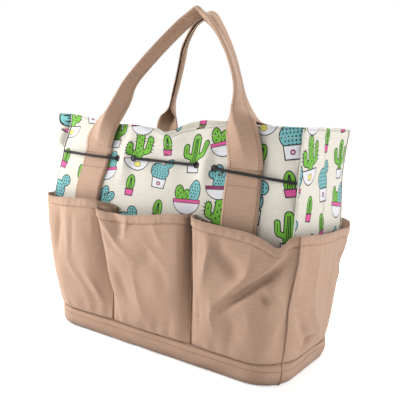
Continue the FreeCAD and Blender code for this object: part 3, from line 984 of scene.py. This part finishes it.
# Ridges and hollows of the hanging cloth: points of the line on the pocket, width, height outwards.
FRONT_FOLDS = {
    "left": [
        ([(-142, 150), (-144, 121), (-144, 96)], 6, -4.2),
        ([(-130, 164), (-124, 109), (-125, 92), (-114, 78)], 7, 3.4), ([(-116, 150), (-116, 108)], 4, -1.8),
        ([(-126, 92), (-113, 77), (-100, 66)], 4.5, 2.6),
        ([(-96, 84), (-84, 70), (-74, 54), (-64, 40)], 4.5, 3.6),
        ([(-104, 76), (-92, 62), (-80, 46)], 5, -2.6), ([(-88, 156), (-84, 120)], 5, 1.6),
        ([(-166, 152), (-156, 90), (-146, 44)], 7, 2)],
    "middle": [
        ([(-74, 158), (-64, 148), (-53, 138), (-40, 127), (-26, 118), (-12, 110)], 4.5, 4.6),
        ([(-52, 158), (-43, 150), (-35, 136)], 7.5, -6), ([(-24, 162), (-28, 146), (-31, 134)], 4, 3.6),
        ([(-66, 132), (-51, 119), (-35, 113), (-20, 110)], 5, 2.4),
        ([(-58, 106), (-38, 94), (-24, 62)], 7, -2.8), ([(8, 160), (20, 143), (28, 132)], 5, 2.2),
        ([(-6, 140), (8, 130), (23, 117), (31, 110)], 3.4, 1.8),
        ([(-16, 110), (-15, 90), (-8, 66), (-1, 40)], 7, 2.8), ([(18, 112), (27, 98), (29, 84)], 8, -2.6),
        ([(0, 126), (10, 112)], 8, -2.2), ([(44, 160), (46, 100), (50, 60)], 5, 2)],
    "right": [
        ([(169, 161), (165, 150), (160, 141), (151.6, 131.5), (142, 123), (132, 114), (121, 106)], 4.5, 7),
        ([(176, 156), (169, 144), (160, 134), (152, 125), (138, 112), (124, 100), (104, 82)], 6.5, -10),
        ([(134, 140), (131, 124), (123, 112), (110, 98), (95, 82)], 5, 5),
        ([(98, 138), (110, 129), (122, 119)], 8, -5.6),
        ([(151, 115), (139, 104), (123, 91), (104, 76)], 5, 3.4),
        ([(148, 114), (156, 110), (163, 103), (166, 93), (164, 82), (160, 70), (157, 56)], 4, 4.4),
        ([(152, 106), (148, 96)], 5, -4.6),
        ([(175, 100), (170, 88), (165.5, 74), (162, 58), (159.5, 34)], 2.8, -4.4),
        ([(178, 92), (173, 80), (169, 66)], 3.2, 2.4),
        ([(81, 160), (85, 142), (82, 122), (78, 100)], 5.5, 3.8), ([(67, 152), (68, 118)], 5, -2.8),
        ([(98, 152), (97, 136)], 6, -2.4), ([(90, 97), (92, 80), (90, 68), (93, 48)], 7, 3.2),
        ([(113, 74), (116, 46)], 8, -2.8), ([(134, 90), (136, 60)], 8, 1.8), ([(74, 84), (72, 48)], 5, -1.8)],
}
BACK_FOLDS = {
    "left": [
        ([(-150, 156), (-142, 100), (-150, 44)], 8, 2.4), ([(-128, 160), (-118, 96), (-128, 40)], 8, -2.8),
        ([(-100, 160), (-92, 118), (-104, 70)], 6, 3), ([(-78, 150), (-82, 100), (-74, 44)], 6, -2.2)],
    "middle": [
        ([(-48, 158), (-30, 128), (2, 104), (20, 60)], 6, 4), ([(-30, 160), (-8, 128), (10, 116)], 8, -4),
        ([(36, 158), (34, 100), (42, 44)], 7, -2.6), ([(-40, 100), (-30, 44)], 7, 2.4)],
    "right": [
        ([(150, 156), (128, 128), (100, 104), (84, 60)], 6, 4.4),
        ([(158, 142), (136, 112), (112, 84)], 8, -4.6), ([(80, 160), (82, 110), (76, 50)], 7, 2.4),
        ([(150, 96), (142, 40)], 7, 2.6)],
}
SIDE_FOLDS = [
    ([(-64, 160), (-60, 120), (-60, 90)], 7, -3.6), ([(-40, 162), (-38, 110), (-30, 72)], 7, 3.4),
    ([(-68, 96), (-54, 74), (-36, 56), (-18, 42)], 6, -6), ([(-14, 46), (-26, 36), (-42, 28)], 5, -8.5),
    ([(-46, 100), (-26, 72), (0, 50), (12, 36)], 6, 5.5), ([(24, 134), (40, 122), (60, 126)], 7, -5),
    ([(6, 160), (6, 100), (14, 60)], 8, -2.6), ([(46, 158), (38, 134), (28, 90)], 6, 3.4),
    ([(-6, 120), (-2, 90)], 5, 2), ([(26, 80), (34, 44)], 6, 2)]


def seam_line(v, slack):
    """The seam where a face pocket meets the side pocket to its right. A slack one has sunk in midway."""
    if slack:
        z = BAND_TOP + v * 138
        heights = [27, 50, 75, 100, 118, 130, 145, 165]
        x = np.interp(z, heights, [160.5, 162, 163, 164, 165, 168, 171.5, 173])
        y = np.interp(z, heights, [-57, -58, -59, -60, -62, -67, -72, -73])
    else:
        z = BAND_TOP + v * (168.5 - BAND_TOP)
        shares = [0, 0.12, 0.3, 0.45, 0.6, 0.8, 1]
        x = np.interp(v, shares, [160.5, 164, 167.5, 168.5, 172, 177, 178])
        y = np.interp(v, shares, [-57, -61, -66.5, -70, -72.5, -75, -76])
    return np.stack([x, y, z], axis=1)


def divider_line(v, top):
    """The stitched line between two pockets of a face."""
    foot = np.array([58.0 if top[0] > 0 else -56.5, -79.8, BAND_TOP])
    return foot + (np.asarray(top) - foot) * v[:, None]


def crest(x, z, line, width):
    """Like stroke, but with the sharper crest a fold has."""
    away = np.maximum(-np.log(np.maximum(stroke(x, z, line, width), 1e-12)), 0)
    return np.exp(-(np.sqrt(away + 0.06) - 0.245) * 1.5)


def band_foot(start, end):
    """The line along the top of the band where a pocket is sewn in."""
    x, y, nx, ny = ring(along_band(start, end, 80), *BAND)
    return np.stack([x + nx * 0.6, y + ny * 0.6, np.full_like(x, BAND_TOP - 1.2)], axis=1)


def pocket_grid(foot, hem, left, right, fullness, power, tight=(0, 0), level=0, columns=110):
    """Cloth held along its foot and both sides, and hanging full below its hem. tight says which sides end in
    the deep fold beside a divider. level picks x or y as the cloth's width."""
    v = np.linspace(0, 1, 64)[:-6]
    v = np.sort(np.concatenate([v, HEM_ROW + np.array([-0.012, -0.006, 0, 0.006, 0.012]), [1.0]]))
    q = np.linspace(0, 1, columns)
    low = resample(np.asarray(foot, float), columns)
    high = spline(hem, columns)
    near = tight[0] * bell(q, 0, 0.3) + tight[1] * bell(1 - q, 0, 0.3)
    steepness = (power + (1.3 - power) * near, np.full(columns, power), np.ones(columns))
    grid = np.zeros((len(v), columns, 3))
    for axis, exponent in enumerate(steepness):
        rise = v[:, None] ** exponent[None]
        grid[:, :, axis] = low[None, :, axis] * (1 - rise) + high[None, :, axis] * rise
    # Both sides go to their stitched lines, and what moves there fades out into the cloth.
    left_gap = (left(v) - grid[:, 0])[:, None]
    right_gap = (right(v) - grid[:, -1])[:, None]
    grid = grid + left_gap * (1 - q[None, :, None]) ** 6 + right_gap * q[None, :, None] ** 6
    normal = grid_normals(grid)
    normal[:, :, 2] = 0
    normal[:, :, level] *= 0.2
    body = (1 - np.abs(2 * q - 1) ** 4)[None, :, None]
    belly = fullness * np.sin(np.pi * v[:, None, None] ** 0.9) * body
    return grid + normal * belly, v, q


def dressed(grid, v, q, folds, seed, strength, level=0):
    """Adds folds, ripples, the stitched hem and the gathers along the foot."""
    normal = grid_normals(grid)
    along, z = grid[:, :, level], grid[:, :, 2]
    up = v[:, None]
    out = 0.8 * ripple(along, z * 0.8, seed, 60)
    for line, width, height in folds:
        form = crest if height > 0 else stroke
        out = out + strength * height * form(along, z, line, width)
    out = out * np.minimum(1, 5 * np.minimum(q, 1 - q))[None] * eased(0, 0.12, up)
    gather = np.sin(along / 3.1 + 1.4 * ripple(along, z, seed + 40, 50)) * bell(up, 0, 0.13)
    out = out + 0.5 * gather * eased(0, 0.03, up)
    hem = eased(HEM_ROW - 0.004, HEM_ROW + 0.012, up) * 0.9 - 0.8 * bell(up, HEM_ROW, 0.006)
    pucker = np.sin(along / 1.7 + ripple(along, z, seed + 9, 20)) * bell(up, HEM_ROW, 0.03)
    out = out + hem * (1 + 0.5 * pucker) + 0.5 * (1 - up ** 0.2)
    return grid + normal * out[:, :, None]


def make_pocket(node, grid, v, turned_round):
    """A pocket and the stitches along its hem and foot."""
    points = grid * np.array([-1, -1, 1]) if turned_round else grid
    fit(sheet(node + "_cloth", points, TAN, 1.7), "tan_canvas", "bag", node)
    normals = grid_normals(points)
    hem = int(np.argmin(np.abs(v - HEM_ROW)))
    runs = [(points[hem], normals[hem]), (points[0] + normals[0] * 0.3, normals[0])]
    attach(stitches(node + "_cloth_stitches", runs), "bag")


def face_pockets(face, hems, folds):
    """Three pockets of one face. The back's are made as the front's, then turned half round."""
    back = face == "back"
    # Each pocket's name once turned round, two edges on the band, deep sides, and strength of folds.
    plans = {"left": ("right", -SEAM_TURN - 1, -DIVIDER_P, (0, 1), 0.6),
             "middle": ("middle", -DIVIDER_P, DIVIDER_P, (1, 1), 0.75),
             "right": ("left", DIVIDER_P, SEAM_TURN + 1, (1, 0), 0.9)}
    for word, (other, start, end, tight, strength) in plans.items():
        hem = hems[word]

        def left(v, word=word, hem=hem):
            return seam_line(v, back) * [-1, 1, 1] if word == "left" else divider_line(v, hem[0])

        def right(v, word=word, hem=hem):
            return seam_line(v, back) if word == "right" else divider_line(v, hem[-1])

        grid, v, q = pocket_grid(band_foot(start, end), hem, left, right, 3.5, 0.5, tight)
        grid = dressed(grid, v, q, folds[word], len(word) + (50 if back else 0), strength)
        make_pocket("%s_%s_pocket" % (face, other if back else word), grid, v, back)


def side_pockets():
    """Both side pockets, the left one made as a right one and turned round. Their front seam is slack."""
    for word, back_to_front in (("right", False), ("left", True)):
        def left(v, slack=back_to_front):
            return seam_line(v, slack)

        def right(v, slack=not back_to_front):
            return seam_line(v, slack) * [1, -1, 1]

        hem = [(x, -y, z) for x, y, z in SIDE_HEM[::-1]] if back_to_front else SIDE_HEM
        foot = band_foot(BAND_SEAMS[0], BAND_SEAMS[1])
        grid, v, q = pocket_grid(foot, hem, left, right, 2.5, 0.62, level=1, columns=120)
        grid = dressed(grid, v, q, SIDE_FOLDS, 71 + back_to_front, 0.9, 1)
        make_pocket(word + "_side_pocket", grid, v, back_to_front)


def make_pocket_seams():
    """The ridge where pockets meet down each corner, and a dark thread-coloured seam in the fold between two
    pockets that also paints the fold's shade.
    """
    for k, (sx, sy) in enumerate(((1, 1), (-1, 1), (-1, -1), (1, -1))):
        line = seam_line(np.linspace(0, 1, 60), sy < 0) * [sx, sy, 1] + [sx * 0.7, -sy * 0.7, 0]
        fit(tube("pocket_corner_seam_%d" % k, line, 1.2, TAN), "tan_canvas", "bag")
    for face, sign in UPPER_FACES:
        for word, x in (("left", -57.5), ("right", 54.0)):
            line = divider_line(np.linspace(0, 1, 40), (x, -80.5, 166))
            line = line * [-sign, -sign, 1] + [0, sign * 0.8, 0.5]
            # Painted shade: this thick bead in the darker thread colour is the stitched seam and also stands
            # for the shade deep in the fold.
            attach(tube("%s_%s_divider_seam" % (face, word), line, 1.5, THREAD), "bag")


# ---- Straps and handles ----
def strap_section(fold):
    """Outline of a strap folded about its middle by a total angle: 0 is flat, pi is folded shut.
    Returns points as (across, outward), centred on the whole section."""
    half = STRAP_WIDE * (0.5 - 0.01 * min(fold, 1.5))
    bend = 2.1
    turn = fold / 2
    wing = np.linspace(bend, half, 8)
    stations = np.concatenate([-wing[::-1], np.linspace(-bend, bend, 9)[1:-1], wing])
    centre, normal = [], []
    for w in stations:
        side = 1 if w >= 0 else -1
        inside = min(abs(w), bend)
        angle = turn * inside / bend
        r = bend / max(turn, 1e-4)
        extra = abs(w) - inside
        centre.append((side * (r * math.sin(angle) + extra * math.cos(turn)),
                       -r * (1 - math.cos(angle)) - extra * math.sin(turn)))
        normal.append((side * math.sin(angle), math.cos(angle)))
    fullness = np.ones(len(stations))
    fullness[[0, -1]] = 0.45
    fullness[[1, -2]] = 0.92
    skin = np.array(normal) * (STRAP_THICK / 2 * fullness)[:, None]
    outline = np.vstack([centre + skin, (centre - skin)[::-1]])
    outline[:, 1] -= (outline[:, 1].max() + outline[:, 1].min()) / 2
    return outline


def ribbon(name, stations):
    """Sweeps a strap along stations of (point, facing, fold). Facing is where its outer side looks when flat.
    Returns the object and its rows of points."""
    controls = [np.hstack([point, np.array(facing) * 40, fold * 30]) for point, facing, fold in stations]
    both = spline(controls, 12 * len(stations))
    line, facing, fold = both[:, :3], both[:, 3:6] / 40, np.clip(both[:, 6] / 30, 0, math.pi)
    tangent = unit(np.gradient(line, axis=0))
    # Both ends leave the wall straight up.
    for k in range(12):
        tangent[k] = tangent[k] * k / 12 + np.array([0, 0, 1 - k / 12])
        tangent[-1 - k] = tangent[-1 - k] * k / 12 - np.array([0, 0, 1 - k / 12])
    facing = unit(facing - tangent * np.sum(facing * tangent, axis=1, keepdims=True))
    across = -np.cross(tangent, facing)
    rows, uv = [], []
    for i, length in enumerate(run_lengths(line)):
        outline = strap_section(fold[i])
        rows.append(line[i] + outline[:, :1] * across[i] + outline[:, 1:] * facing[i])
        flat = np.linspace(-STRAP_WIDE / 2, STRAP_WIDE / 2, len(outline) // 2)
        uv.append(np.stack([np.concatenate([flat, flat[::-1]]), np.full(len(outline), length)], axis=1))
    rows = np.array(rows)
    sides = rows.shape[1]
    faces = grid_faces(sides, len(rows), around=True, flip=True)
    last = (len(rows) - 1) * sides
    for i in range(sides // 2 - 1):
        cap = np.array([i, i + 1, sides - 2 - i, sides - 1 - i])
        faces.append(tuple(cap.tolist()))
        faces.append(tuple((last + cap[[1, 0, 3, 2]]).tolist()))
    return add_mesh(name, rows, faces, [TAN], np.array(uv)), rows


def strap_edges(rows):
    """Stitch lines just inside both edges of a strap's outer side."""
    half = rows.shape[1] // 2
    out = []
    for index, inward in ((1, 1), (half - 2, -1)):
        line = (rows[:, index] + rows[:, index + inward]) * 0.5
        out.append((line, unit(line - rows[:, rows.shape[1] - 1 - index])))
    return out


def make_straps():
    """The sewn-down legs of both handles, from behind the pockets up to the tack."""
    z = np.linspace(140, LEG_TOP - 0.1, 40)
    edge = np.ones(15)
    edge[[0, -1]] = 0.5
    for face in WALLS:
        for word, side in SIDES:
            x = np.linspace(-STRAP_WIDE / 2, STRAP_WIDE / 2, 15) + side * STRAP_X
            across, height = np.meshgrid(x if face == "front" else x[::-1], z)
            points = on_wall(face, across, height)
            points[:, :, 2] = height
            normal = grid_normals(points)
            points = points + normal * (0.35 + STRAP_THICK * edge)[None, :, None]
            name = "%s_%s_strap_" % (face, word)
            fold_with(fit(sheet(name + "sewn", points, TAN, STRAP_THICK), "tan_canvas", None,
                          name + "upper", name + "lower"))
            # Two edges, and two rows across near the top: the tack.
            lines = [(points[:, k], normal[:, k]) for k in (1, 13)]
            lines += [(points[row, 1:-1], np.tile(normal[row, 7], (13, 1))) for row in (-3, -9)]
            fold_with(stitches(name + "stitches", lines))


FOLDED_SHUT = math.pi * 0.985


def held(facing, fold, *points):
    """Stations that share a facing and a fold."""
    return [(point, facing, fold) for point in points]


def leaving(face, x, z, lift=0.0):
    """A point on the middle line of a flat strap where it lies against the wall."""
    x, y, _ = on_wall(face, np.array(float(x)), np.array(float(z)))
    return (x, y + (-1 if face == "front" else 1) * (STRAP_THICK / 2 + 0.35 + lift), z)


def front_stations():
    """Middle line, facing and fold of the front handle, from its left leg over the peak to its right leg."""
    flat = (0, -1, 0.02)
    up_left = (0.1, -0.87, 0.33)
    down_right = (0.1, -0.9, 0.43)
    return [
        (leaving("front", -STRAP_X, LEG_TOP), (0, -1, 0.03), 0.0),
        (leaving("front", -105.6, 232, 0.2), flat, 0.05),
        ((-98.2, -71.5, 239), flat, 0.2),
        ((-94.3, -73.2, 247), (-0.05, -1, 0.05), 0.5),
        ((-88.6, -74, 260), (-0.1, -1, 0.15), 0.95),
        ((-83.4, -71.5, 272), (-0.1, -1, 0.2), 1.4),
        ((-78.8, -67, 283), (-0.05, -0.95, 0.3), 1.75),
        ((-74.8, -61, 295), (0, -0.9, 0.4), 2.2),
        ((-70.4, -56, 308), up_left, 2.75),
    ] + held(up_left, FOLDED_SHUT, (-64.3, -49.5, 321), (-54.6, -41.5, 337.4), (-43.5, -34.5, 353.3),
             (-31.7, -27.5, 368.7), (-19.1, -21, 383.4), (-8.0, -17.4, 392.8), (-1.5, -15.9, 397.6)) + [
        ((3.0, -15.8, 398), (0.05, -0.9, 0.43), FOLDED_SHUT),
    ] + held(down_right, FOLDED_SHUT, (8.0, -16, 394), (20.6, -20.5, 386), (37.0, -27, 371.4),
             (49.0, -32.5, 358), (60.5, -38.5, 344.5)) + [
        ((73.4, -47, 326.5), (0.1, -0.9, 0.4), FOLDED_SHUT),
        ((82.5, -54.5, 311), (0.1, -0.93, 0.36), FOLDED_SHUT),
        ((87.5, -61.5, 298.5), (0.1, -0.95, 0.3), 2.9),
        ((90.0, -67.5, 287), (0.05, -1, 0.15), 2.1),
        ((94.0, -72, 277), (0, -1, 0.08), 1.35),
        ((98.0, -73.2, 268), (0, -1, 0.03), 0.95),
        ((101.8, -72.8, 256), flat, 0.6),
        ((104.8, -71.8, 243), flat, 0.3),
        (leaving("front", 105.8, 233, 0.2), flat, 0.05),
        (leaving("front", STRAP_X, LEG_TOP), (0, -1, 0.03), 0.0),
    ]


def back_stations():
    """The same for the back handle, whose right leg has flopped inwards."""
    flat = (0, 1, 0.02)
    up_left = (-0.23, 0.83, 0.51)
    down_right = (-0.2, 0.9, 0.36)
    return [
        (leaving("back", -STRAP_X, LEG_TOP), (0, 1, 0.03), 0.0),
        (leaving("back", -105.8, 234, 0.4), flat, 0.05),
        ((-104.5, 74, 243), (0, 1, 0.05), 0.3),
        ((-101.5, 75, 258), (0, 1, 0.1), 0.8),
        ((-96.5, 72.5, 275), (-0.1, 0.95, 0.25), 1.9),
    ] + held(up_left, FOLDED_SHUT, (-91.5, 66, 291), (-78.5, 55, 312), (-65.0, 43.5, 334.2),
             (-54.5, 33.5, 351), (-44.5, 25, 368.2), (-24.3, 15.2, 389.5)) + [
        ((-8.0, 12, 398.5), (-0.2, 0.85, 0.5), FOLDED_SHUT),
        ((0.0, 12.6, 398.5), (-0.2, 0.85, 0.45), FOLDED_SHUT),
    ] + held(down_right, FOLDED_SHUT, (6.4, 15.2, 392), (15.4, 23.6, 371.1), (20.5, 34.5, 349.5),
             (22.5, 47, 326), (25.0, 58, 303)) + [
        ((29.5, 68, 286), (-0.1, 0.95, 0.2), 2.85),
        ((37.0, 76, 273), (0, 1, 0.1), 2.5),
        ((50.0, 79, 263.5), (0, 1, 0.05), 2.1),
        ((66.0, 79.5, 257), flat, 1.7),
        ((84.0, 77, 251), flat, 1.2),
        ((98.0, 73, 243), flat, 0.6),
        (leaving("back", 105.0, 234.5, 0.5), flat, 0.15),
        (leaving("back", STRAP_X, LEG_TOP), (0, 1, 0.03), 0.0),
    ]


def make_handles():
    for (face, sign), stations in zip(UPPER_FACES, (front_stations(), back_stations())):
        handle, rows = ribbon(face + "_handle_strap", stations)
        fit(handle, "tan_canvas", None, face + "_handle")
        for piece in (handle, stitches(face + "_handle_stitches", strap_edges(rows))):
            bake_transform(piece)


# ---- Elastic cord ----
EYELET_X = (-69, -45, 45, 69)


def cord_height(face, x):
    """The front cord rises a little in the middle and ends lower at the right."""
    if face == "back":
        return CORD_Z
    return float(np.interp(x, [-165, -106, -69, -45, 45, 69, 106, 165],
                           [223.5, 222.5, 222.5, 224.6, 225.4, 224.2, 222.4, 218.4]))


def make_cords():
    """Each cord runs from corner seam to corner seam: over both straps, and inside between paired eyelets."""
    over = STRAP_THICK + 2.0
    # Half a cord: places across the face, and how far out of the cloth the cord is there.
    half = [(163.5, 0.2), (160, 1.6), (145, 2.0), (129, over - 0.6), (120, over), (106, over), (92, over),
            (83, over - 0.8), (76, 2.0), (71.5, 1.8), (69, -0.5), (66, -3.4), (57, -3.9), (48, -3.4),
            (45, -0.5), (42.5, 1.8), (36, 1.9), (15, 1.6)]
    for face, sign in UPPER_FACES:
        def at(x, out, face=face, sign=sign):
            return on_wall(face, np.array(float(x)), cord_height(face, x), 3) + [0, sign * out, 0]

        line = [at(-x, out) for x, out in half] + [at(x, out) for x, out in half[::-1]]
        cord = tube(face + "_elastic", spline(line, 420), 1.55, CORD, 10)
        fit(cord, "elastic_cord", face + "_upper", face + "_cord")
        for k, x in enumerate(EYELET_X):
            make_eyelet("%s_eyelet_%d" % (face, k), at(x, 0.5), sign, face)


def make_eyelet(name, centre, sign, face):
    """A rolled ring set in the cloth."""
    count, sides = 28, 10
    a = np.linspace(0, 2 * np.pi, count, endpoint=False)[:, None]
    b = np.linspace(0, 2 * np.pi, sides, endpoint=False)[None]
    r = 2.9 + 0.95 * np.cos(b)
    points = np.stack([r * np.cos(a), sign * 0.8 * np.sin(b) + 0 * a, r * np.sin(a)], axis=2) + centre
    faces = []
    for i in range(count):
        for j in range(sides):
            k, m = (i + 1) % count, (j + 1) % sides
            quad = (i * sides + j, k * sides + j, k * sides + m, i * sides + m)
            faces.append(quad if sign < 0 else quad[::-1])
    obj = add_mesh(name, points, faces, [EYELET], np.stack(np.broadcast_arrays(a * 3, b), axis=2))
    fit(obj, "eyelet_black", face + "_upper", face + "_eyelets")


# ---- Stage ----
AMBIENT = 0.36  # the room's light on the bag, where the background itself is 1


def paper():
    """Pale paper that glows for the camera, brighter further out, so that it meets the background without an
    edge.
    """
    n = Nodes("studio_paper")
    place = n.add("ShaderNodeTexCoord").outputs["Object"]
    n.link(n.mix(n.noise(300.0, 2.0, place), shade((0.95,) * 3, 1), shade((0.97,) * 3, 1)),
           n.shader.inputs["Base Color"])
    n.shader.inputs["Roughness"].default_value = 0.95
    # Painted light: the paper glows, seen only by the camera, from 0.5 near the bag up to 1.1 further out.
    n.shader.inputs["Emission Color"].default_value = (1, 1, 1, 1)
    distance = n.add("ShaderNodeVectorMath", operation="LENGTH")
    n.link(place, distance.inputs[0])
    beyond = n.math("MULTIPLY", n.math("SUBTRACT", distance.outputs["Value"], 0.2), 0.8)
    share = n.math("MAXIMUM", n.math("MINIMUM", beyond, 1.0), 0.0)
    glow = n.math("ADD", n.math("MULTIPLY", share, 0.6), 0.5)
    seen = n.math("MULTIPLY", n.add("ShaderNodeLightPath").outputs["Is Camera Ray"], glow)
    n.link(seen, n.shader.inputs["Emission Strength"])
    return n.material


def make_floor():
    reach = 9.0
    corners = [(-reach, -reach, 0), (reach, -reach, 0), (reach, reach, 0), (-reach, reach, 0)]
    mesh = bpy.data.meshes.new("studio_floor")
    mesh.from_pydata(corners, [], [(0, 1, 2, 3)])
    mesh.materials.append(paper())
    floor = bpy.data.objects.new("studio_floor", mesh)
    SCENE.collection.objects.link(floor)


def make_world():
    """White where the camera sees it, and dimmer as a source of light."""
    world = bpy.data.worlds.new("studio")
    world.use_nodes = True
    tree = world.node_tree
    rays = tree.nodes.new("ShaderNodeLightPath")
    level = tree.nodes.new("ShaderNodeMapRange")
    level.inputs["To Min"].default_value = AMBIENT
    level.inputs["To Max"].default_value = 1.0
    tree.links.new(rays.outputs["Is Camera Ray"], level.inputs["Value"])
    tree.nodes["Background"].inputs[0].default_value = (1.0, 1.0, 1.0, 1)
    tree.links.new(level.outputs[0], tree.nodes["Background"].inputs[1])
    SCENE.world = world


def area_light(name, place, target, size, power):
    """A square lamp at a place, aimed at a target. Both are in metres, and the power is in watts."""
    data = bpy.data.lights.new(name, "AREA")
    data.size = size
    data.energy = power
    light = bpy.data.objects.new(name, data)
    light.location = place
    light.rotation_euler = (Vector(target) - Vector(place)).to_track_quat("-Z", "Y").to_euler()
    SCENE.collection.objects.link(light)


def make_camera():
    """Three-quarter view from the front right, slightly above, and tilted a few degrees."""
    place = Vector((0.4046, -0.60492, 0.28096))
    azimuth, elevation, tilt = (math.radians(angle) for angle in (33.2976, 8.2991, 3.4415))
    data = bpy.data.cameras.new("camera")
    data.sensor_width = 36.0
    data.lens = 53.17
    data.clip_start = 0.01
    camera = bpy.data.objects.new("camera", data)
    camera.matrix_world = (Matrix.Translation(place) @ Matrix.Rotation(azimuth, 4, "Z")
                           @ Matrix.Rotation(math.pi / 2 - elevation, 4, "X") @ Matrix.Rotation(tilt, 4, "Z"))
    SCENE.collection.objects.link(camera)
    SCENE.camera = camera


make_printed_walls()
make_rims()
make_corner_seams()
make_band()
make_base()
make_inner_walls()
face_pockets("front", FRONT_HEMS, FRONT_FOLDS)
face_pockets("back", BACK_HEMS, BACK_FOLDS)
side_pockets()
make_pocket_seams()
make_straps()
make_handles()
make_cords()
make_floor()
make_world()
area_light("key_left", (-0.75, -0.42, 0.42), (-0.1, 0, 0.16), 0.4, 8)
area_light("top", (-0.2, 0.6, 1.7), (0, 0, 0.2), 1.0, 16)
area_light("right", (1.5, 0.25, 0.7), (0, 0, 0.15), 0.6, 12)
SCENE.view_settings.view_transform = "Standard"
make_camera()
